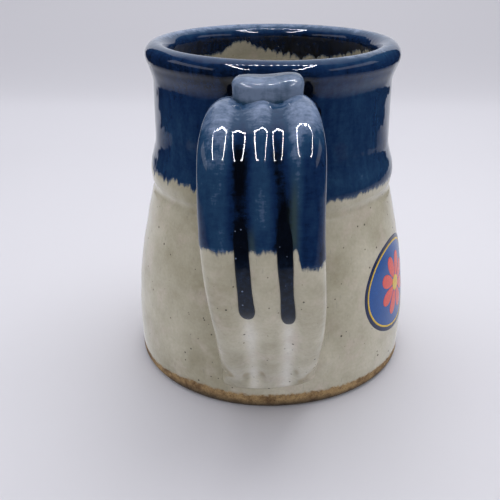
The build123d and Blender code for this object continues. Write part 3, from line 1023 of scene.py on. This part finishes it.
class MUG_OT_handle_glaze(bpy.types.Operator):
    """Builds the cobalt glaze over the top of the handle"""

    bl_idname = "mug.handle_glaze"
    bl_label = "Handle Glaze"

    def execute(self, context):
        s = sizes()
        strap = Strap(s)
        section = strap.section(top_count=97, edge_count=15)
        middle = strap.row_at(s.dip_line) + np.zeros((1, section.shape[-1]))
        x = strap.surface(middle, section)[1]
        end = strap.row_at(strap_dip(x, section[2], s))
        share = np.linspace(0, 1, 130)[:-1, None]
        along = np.concatenate([(end - EDGE_STEPS[-1]) * share, end - EDGE_STEPS[::-1]])
        inward = end - along
        top, x = strap.surface(along, section, lipped(inward))
        under = strap.surface(along, section, -s.glaze - 0.4 * MM)[0]
        depth, rutile = handle_depth(strap, along, x, top[..., 2], section[2], inward)
        coat_of_cobalt("handle_cobalt_glaze", "handle_glaze", top, under,
                       depth=depth, rutile=rutile)
        return {"FINISHED"}


def handle_depth(strap, along, x, height, up, inward):
    """How deep the cobalt glaze looks on the handle, with painted shade at its sides next to the
    collar, and where its olive bloom shows.
    """
    x = strap.at_full_width(along, x)
    front = 1 - eased(height, 96 * MM, 107 * MM)
    low = 1 - eased(height, 74 * MM, 86 * MM)
    flute = np.clip(strap.flutes(along, x), 0, 1) * (np.abs(x) < 11.3 * MM)
    depth = (0.36 + 0.05 * np.sin(along / (5 * MM) + 300 * x)
             + 0.62 * flute ** 1.4 * (0.35 + 0.65 * front)
             - 0.20 * (1 - front)
             + 0.28 * eased(x, 9.6 * MM, 11.5 * MM) * front
             + 0.12 * bump(x, -16 * MM, 2.5 * MM) * front
             + 0.16 * eased(-up, -0.5, 0.5) + 0.10 * low
             # painted shade: darker at the strap's sides next to the collar, in the gap between
             # strap and collar
             + 0.40 * (1 - eased(along, 6 * MM, 10.5 * MM)) * eased(np.abs(x), 7 * MM, 10 * MM)
             - 0.14 * (1 - eased(inward, 0, 1.4 * MM)) * (1 - flute))
    upright = eased(height, 68 * MM, 76 * MM) * (1 - eased(height, 84 * MM, 96 * MM))
    rutile = (0.75 * bump(x, 8.6 * MM, 1.0 * MM) * upright
              + 0.6 * bump(x, -2.6 * MM, 0.9 * MM) * (1 - eased(height, 74 * MM, 81 * MM)))
    return depth, np.clip(rutile, 0, 1) * (up > 0)


class MUG_OT_thumb_rest(bpy.types.Operator):
    """Builds the pinched thumb rest on the crown of the handle"""

    bl_idname = "mug.thumb_rest"
    bl_label = "Thumb Rest"

    def execute(self, context):
        s = sizes()
        turn = circle(132)[None, :]
        tilt = np.linspace(-math.pi / 2, math.pi / 2, 62)[1:-1, None]

        def boxy(value, power):
            return np.sign(value) * np.abs(value) ** power

        # a pad, boxier than a ball, with a blunt upper half and a steeper lower one
        across = boxy(np.cos(tilt), 0.46) * boxy(np.cos(turn), 0.50)
        rise = boxy(np.sin(tilt), 0.62)
        deep = np.where(rise > 0, (1 - rise ** 2) ** 0.45, np.cos(tilt) ** 0.3)
        back = deep * boxy(np.sin(turn), 0.62)
        up = rise + 0 * turn
        top, root = np.clip(up, 0, 1), eased(-up, 0.1, 0.9)
        x = s.rest_width / 2 * across * (1 + 0.04 * up - 0.03 * back) * (1 + 0.05 * root)
        y = (s.rest_depth / 2 * back * (1 - 0.15 * across ** 2) * (1 + 0.16 * root)
             + 0.12 * MM * np.sin(6 * across))
        # its top tips a little, dips where the thumb lies, and dips again at the front edge
        dips = (0.9 * bump(across, -0.05, 0.55) * bump(back, 0.1, 0.7)
                + 0.7 * bump(across, 0.05, 0.45) * eased(-back, 0.2, 0.9))
        z = (s.rest_height / 2 * up + (0.5 * across + 0.35 * back - dips) * MM * top
             - 2.4 * MM * root)
        middle_y = (REST_LOW.y + REST_HIGH.y) / 2
        middle_z = REST_HIGH.z - s.rest_height / 2 + 1.3 * MM
        points = np.stack([x + s.rest_side, y + middle_y, z + middle_z], axis=-1)
        depth = (0.10 + 0.05 * np.sin(4 * across) + 0.42 * eased(back, -0.7, 0.2) * top
                 + 0.5 * eased(-up, 0.3, 0.7))
        rest = skin("thumb_rest_glazed", points, shared("dipped_cobalt_glaze", cobalt_glaze),
                    depth=depth, rutile=0.26 * (1 - 0.7 * top ** 2))
        finish_piece(rest, COBALT_SLOT, "thumb_rest")
        return {"FINISHED"}


class MUG_OT_glaze_runs(bpy.types.Operator):
    """Builds the two thick runs of cobalt glaze down the flutes"""

    bl_idname = "mug.glaze_runs"
    bl_label = "Glaze Runs"

    def execute(self, context):
        s = sizes()
        strap = Strap(s)
        turns = circle(36)[None, :]
        tail = 5.2 * MM
        round_end = 1 - np.sin(np.linspace(0, math.pi / 2, 18)[1:])
        start = strap.row_at(s.dip_line + 11 * MM)
        for name, node, centre, longer, seed in (
                ("left_cobalt_run", "left_glaze_run", -5.6 * MM, 0.8 * MM, 21),
                ("right_cobalt_run", "right_glaze_run", 6.0 * MM, 1.6 * MM, 22)):
            end = strap.row_at(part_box(node)[0].z) + longer
            along = np.append(np.linspace(start, end - tail, 70), end - tail * round_end)[:, None]
            drop = np.sqrt(1 - (1 - np.clip((end - along) / tail, 0, 1)) ** 2)
            half = s.run_width / 2 * (1 + 0.08 * wave(along / (14 * MM), seed, 1, 6))
            half = ((half * drop + 0.02 * MM) * (0.92 + 0.14 * eased(along, start, end))
                    * np.sqrt(eased(along, start - 0.5 * MM, start + 10 * MM)))
            swell = (0.95 * MM * eased(along, start - 2 * MM, start + 13 * MM) - 0.25 * MM
                     + 0.15 * MM * bump(along, end - 5 * MM, 3 * MM)) * drop
            x = centre * strap.width(along) / s.strap_width + half * np.cos(turns)
            rise = np.where(np.sin(turns) > 0, swell, -0.5 * MM) * np.abs(np.sin(turns)) ** 0.7
            rise = rise - strap.hollow(along, x) - 0.02 * MM
            y, z, out_y, out_z = strap.place(along)
            y, z = y + out_y * rise, z + out_z * rise
            run = skin(name, np.stack([x + strap.lean(along), y, z], axis=-1),
                       shared("pooled_cobalt_glaze", pooled_cobalt),
                       depth=0.9 * eased(z, s.dip_line - 9 * MM, s.dip_line))
            finish_piece(run, COBALT_SLOT, node)
        return {"FINISHED"}


# ---------------------------------------------------------------- the painted oval

OVAL_TURN = math.radians(65.9)      # round the pot from the handle's side, toward +X
OVAL_CENTRE = 33.5 * MM             # above the table
BELLY = 49 * MM                     # radius that bends the oval's width round the pot
PETALS = 8


def ellipse(half_width, half_height):
    """Points round an ellipse about the middle."""
    turn = circle(96)
    return np.stack([half_width * np.cos(turn), half_height * np.sin(turn)], axis=1)


def petal(reach, half_width, turn, start):
    """Points round a leaf shape that starts near the middle and points along turn."""
    t = circle(40)
    u = start + (reach - start) * (1 - np.cos(t)) / 2
    v = half_width * np.sin(t) * (0.55 + 0.45 * (1 - np.cos(t)) / 2)
    c, k = math.cos(turn), math.sin(turn)
    return np.stack([u * c - v * k, u * k + v * c], axis=1)


def painted(name, colour_name, wall, outline, inner, thick):
    """A thin closed coat of enamel on the belly, between an outline and a smaller one in it."""
    rings = round(np.abs(outline - inner).max() / (0.6 * MM)) + 3
    shares = np.linspace(0, 1, rings)[:, None, None]
    face = outline[None] * (1 - shares) + inner[None] * shares
    under = face[::-1]
    edge = face[:1] + (face[1:2] - face[:1]) * 0.15
    face = np.concatenate([face[:1], edge, face[1:], under])
    coat = np.full(face.shape[:2], thick * MM)
    coat[0] = -0.05 * MM
    coat[-len(under):] = -0.15 * MM
    angle = OVAL_TURN - math.pi / 2 + face[..., 0] / BELLY
    r, z, nr, nz = wall.place(wall.outside_at(OVAL_CENTRE + face[..., 1]))
    shift = hand_of_the_wheel(angle, z) + coat
    piece = skin(name, turned_points(r + nr * shift, z + nz * shift, angle),
                 shared(colour_name, fired_enamel, colour_name), wrap_rows=True)
    finish_piece(piece, CLAY_SLOT)


class MUG_OT_oval(bpy.types.Operator):
    """Builds the enamel oval with its flower on the belly"""

    bl_idname = "mug.oval"
    bl_label = "Painted Oval"

    def execute(self, context):
        s = sizes()
        wall = Wall(s)

        def oval(inset):
            return ellipse(s.oval_width / 2 - inset * MM, s.oval_height / 2 - inset * MM)

        point, heart = ellipse(0.02 * MM, 0.02 * MM), ellipse(2.9 * MM, 2.9 * MM)
        painted("oval_border_navy", "enamel_navy", wall, oval(0), oval(1.6), 0.05)
        painted("oval_ground_blue", "enamel_blue", wall, oval(0.9), point, 0.03)
        painted("oval_line_yellow", "enamel_yellow", wall, oval(1.5), oval(2.2), 0.07)
        for index in range(PETALS):
            turn = 2 * math.pi * (index + 0.5) / PETALS
            outline = petal(11.5 * MM, 3.1 * MM, turn, 2.4 * MM)
            middle = outline.mean(0)
            painted(f"petal_{index + 1}", "enamel_red", wall,
                    outline, middle + 0.01 * (outline - middle), 0.06)
        painted("flower_heart", "enamel_yellow", wall, heart, point, 0.08)
        return {"FINISHED"}


# ---------------------------------------------------------------- the stage

MIRRORED = linear("#F6F7FF")        # cool white of what the glaze mirrors
ROOM = linear("#DEDDE4")
DARK_ROOM = linear("#8E96B0")


class MUG_OT_stage(bpy.types.Operator):
    """Sets the mug on a pale floor with soft light and the camera"""

    bl_idname = "mug.stage"
    bl_label = "Stage"

    def execute(self, context):
        build_floor()
        build_tent()
        build_side_cards()
        build_world()
        build_panels()
        build_lamp_row()
        build_camera()
        context.scene.view_settings.view_transform = "Standard"
        return {"FINISHED"}


def stage_mesh(name, vertices, faces, material):
    """A mesh of the stage, which is no part of the mug."""
    mesh = bpy.data.meshes.new(name)
    mesh.from_pydata(vertices, [], faces)
    mesh.materials.append(material)
    made = bpy.data.objects.new(name, mesh)
    bpy.context.scene.collection.objects.link(made)
    return made


def glowing(name, strength):
    """A light of its own for things that only the glaze mirrors."""
    material, tree = new_material(name)
    glow = add_node(tree, "ShaderNodeEmission", {"Color": MIRRORED, "Strength": strength})
    add_node(tree, "ShaderNodeOutputMaterial", {"Surface": glow})
    return material


def lit_cloth():
    """White cloth, lit from above: bright behind the mug, dimmer toward its sides and in front."""
    material, tree = new_material("lit_white_cloth")
    place = add_node(tree, "ShaderNodeTexCoord").outputs["Object"]
    axes = add_node(tree, "ShaderNodeSeparateXYZ", {0: place})
    aside = add_node(tree, "ShaderNodeMath", {0: axes}, operation="ABSOLUTE")
    sides = add_node(tree, "ShaderNodeMapRange",
                     {"Value": aside, "From Min": 0.15, "From Max": 0.30,
                      "To Min": 0.72, "To Max": 0.22})
    behind = add_node(tree, "ShaderNodeMapRange",
                      {"Value": axes.outputs[1], "From Min": 0.12, "From Max": 0.28,
                       "To Max": 0.8})
    ahead = add_node(tree, "ShaderNodeMapRange",
                     {"Value": axes.outputs[1], "From Min": -0.17, "From Max": 0.0,
                      "To Min": 0.22})
    best = add_node(tree, "ShaderNodeMath", {0: sides, 1: behind}, operation="MAXIMUM")
    level = add_node(tree, "ShaderNodeMath", {0: best, 1: ahead}, operation="MULTIPLY")
    glow = add_node(tree, "ShaderNodeEmission", {"Color": MIRRORED, "Strength": level})
    add_node(tree, "ShaderNodeOutputMaterial", {"Surface": glow})
    return material


def only_mirrored(thing):
    """Hides a thing from everything but glossy reflections."""
    for seen_by in ("camera", "diffuse", "shadow", "transmission"):
        setattr(thing, "visible_" + seen_by, False)


def build_floor():
    """A pale sheet on the table, far wider than the set."""
    material, tree = new_material("pale_card")
    shader = add_node(tree, "ShaderNodeBsdfPrincipled",
                      {"Base Color": linear("#CFCFD3"), "Roughness": 0.6, "IOR": 1.45})
    add_node(tree, "ShaderNodeOutputMaterial", {"Surface": shader})
    half = 12.0
    corners = [(-half, -half, 0), (half, -half, 0), (half, half, 0), (-half, half, 0)]
    stage_mesh("floor", corners, [(0, 1, 2, 3)], material).visible_glossy = False


def build_tent():
    """The white sheet as the glaze mirrors it: under the mug, up behind it and over the top.

    Its sides hang unevenly, and past them and in front of it the room is dark."""
    bottom, top, back, front, over_front = 0.00002, 0.430, 0.500, -0.165, -0.055
    under, over, high = 0.380, 0.400, 0.330
    profile = np.concatenate([
        straight((front, bottom), (under, bottom), 0.01),
        arc((under, bottom), (0.465, 0.035), (back, 0.120), 0.03),
        straight((back, 0.120), (back, high), 0.07),
        arc((back, high), (0.471, 0.401), (over, top), 0.03),
        straight((over, top), (over_front, top), 0.07),
        [(over_front, top)]])
    count = len(profile)
    place = np.linspace(0, 2 * math.pi, count)
    vertices = []
    for side, seed in ((-1, 31), (1, 32)):
        reach = 0.305 + 0.014 * wave(place, seed, 3, 16)
        vertices += [(side * x, y, z) for x, (y, z) in zip(reach, profile)]
    faces = [(i, i + 1, count + i + 1, count + i) for i in range(count - 1)]
    only_mirrored(stage_mesh("tent", vertices, faces, lit_cloth()))


def build_side_cards():
    """A pale card high on each side, mirrored in the rim and the sides of the strap."""
    near, far, low, high = -0.38, 0.10, 0.235, 0.37
    for x, name in ((-0.45, "left_card"), (0.45, "right_card")):
        corners = [(x, near, low), (x, far, low), (x, far, high), (x, near, high)]
        card = shared("lit_card", glowing, "lit_card", 0.9)
        only_mirrored(stage_mesh(name, corners, [(0, 1, 2, 3)], card))


def build_world():
    """Pale surroundings, dimmer high up in front of the mug; the glaze mirrors a dark room."""
    world = bpy.data.worlds.new("room")
    world.use_nodes = True
    tree = world.node_tree
    tree.nodes.clear()
    path = add_node(tree, "ShaderNodeLightPath")
    way = add_node(tree, "ShaderNodeTexCoord").outputs["Generated"]
    axes = add_node(tree, "ShaderNodeSeparateXYZ", {0: way})
    ahead = add_node(tree, "ShaderNodeMapRange",
                     {"Value": axes.outputs[2], "From Min": 0.25, "From Max": 0.65,
                      "To Min": 1.5, "To Max": 0.55})
    behind = add_node(tree, "ShaderNodeMapRange",
                      {"Value": axes.outputs[1], "From Min": -0.5, "From Max": 0.15})
    level = add_node(tree, "ShaderNodeMix", {0: behind, 2: ahead, 3: 1.5}, data_type="FLOAT")
    soft, pale, dark = (
        add_node(tree, "ShaderNodeBackground", {"Color": tint, "Strength": strength})
        for tint, strength in ((ROOM, level), (ROOM, 0.88), (DARK_ROOM, 0.05)))
    seen = add_node(tree, "ShaderNodeMixShader",
                    {0: path.outputs["Is Camera Ray"], 1: soft, 2: pale})
    both = add_node(tree, "ShaderNodeMixShader",
                    {0: path.outputs["Is Glossy Ray"], 1: seen, 2: dark})
    add_node(tree, "ShaderNodeOutputWorld", {"Surface": both})
    bpy.context.scene.world = world


def build_panels():
    """A soft panel overhead and one over the far floor."""
    for name, place, aim, size, power in (
            ("top_panel", (0.05, 0.06, 0.46), (0, -0.03, 0), 0.34, 0.95),
            ("far_panel", (0, 1.25, 0.75), (0, 1.25, 0), 0.90, 1.5)):
        light = bpy.data.lights.new(name, "AREA")
        light.size, light.energy = size, power
        panel = bpy.data.objects.new(name, light)
        panel.location = place
        panel.rotation_euler = (Vector(aim) - Vector(place)).to_track_quat("-Z", "Y").to_euler()
        panel.visible_glossy = False
        bpy.context.scene.collection.objects.link(panel)


def build_lamp_row():
    """Small lamps along three sides of a frame overhead, seen only in the glaze."""
    half, front_half, back, front, overhead = 0.135, 0.170, -0.058, -0.350, 0.394
    size, aim = 0.0034, Vector((0, -0.07, 0.09))
    places = [(x, back, overhead) for x in np.linspace(-half, half, 15)]
    sides = list(zip(np.linspace(half, front_half, 16)[1:], np.linspace(back, front, 16)[1:]))
    for x, y in sides + [(x, front) for x in (0.157, 0.144, 0.131)]:
        places += [(-x, y, overhead), (x, y, overhead)]
    corners, faces = [], []
    for middle in map(Vector, places):
        first = len(corners)
        toward = (aim - middle).normalized()
        side = toward.cross(Vector((0, 0, 1))).normalized()
        up = side.cross(toward)
        for a, b in ((-1, -1), (1, -1), (1, 1), (-1, 1)):
            corners.append(middle + side * a * size + up * b * size)
        faces.append((first, first + 1, first + 2, first + 3))
    only_mirrored(stage_mesh("lamp_row", corners, faces, glowing("lamp", 200.0)))


def build_camera():
    """Level with the mug's shoulder, looking down a little past the handle."""
    camera = bpy.data.cameras.new("camera")
    camera.lens, camera.sensor_width = 54.72, 36.0
    camera.clip_start, camera.clip_end = 0.01, 20.0
    eye = bpy.data.objects.new("camera", camera)
    eye.location = (0, -0.263755, 0.154591)
    forward = Vector((-0.0268384, 0.9123527, -0.4085244))
    up = Vector((-0.0095226, 0.4084197, 0.9127446))
    right = forward.cross(up)
    eye.rotation_euler = Matrix((right, up, -forward)).transposed().to_euler()
    bpy.context.scene.collection.objects.link(eye)
    bpy.context.scene.camera = eye


# ---------------------------------------------------------------- add-on

class MUG_PT_panel(bpy.types.Panel):
    """The mug's sizes, colours and building steps"""

    bl_idname = "MUG_PT_panel"
    bl_label = "Stoneware Mug"
    bl_space_type = "VIEW_3D"
    bl_region_type = "UI"
    bl_category = "Mug"

    def draw(self, context):
        for group in (context.scene.mug_sizes, context.scene.mug_colours):
            for key in group.__annotations__:
                self.layout.prop(group, key)
        for step in STEPS:
            self.layout.operator(step.bl_idname)


STEPS = (MUG_OT_body, MUG_OT_collar_glaze, MUG_OT_handle, MUG_OT_handle_glaze, MUG_OT_thumb_rest,
         MUG_OT_glaze_runs, MUG_OT_oval, MUG_OT_stage)
CLASSES = (MugSizes, MugColours, *STEPS, MUG_PT_panel)


def register():
    for each in CLASSES:
        bpy.utils.register_class(each)
    bpy.types.Scene.mug_sizes = bpy.props.PointerProperty(type=MugSizes)
    bpy.types.Scene.mug_colours = bpy.props.PointerProperty(type=MugColours)


def unregister():
    del bpy.types.Scene.mug_colours
    del bpy.types.Scene.mug_sizes
    for each in reversed(CLASSES):
        bpy.utils.unregister_class(each)


def main():
    """Builds every piece and the stage."""
    register()
    bpy.ops.mug.body()
    bpy.ops.mug.collar_glaze()
    bpy.ops.mug.handle()
    bpy.ops.mug.handle_glaze()
    bpy.ops.mug.thumb_rest()
    bpy.ops.mug.glaze_runs()
    bpy.ops.mug.oval()
    bpy.ops.mug.stage()


if __name__ == "__main__":
    main()
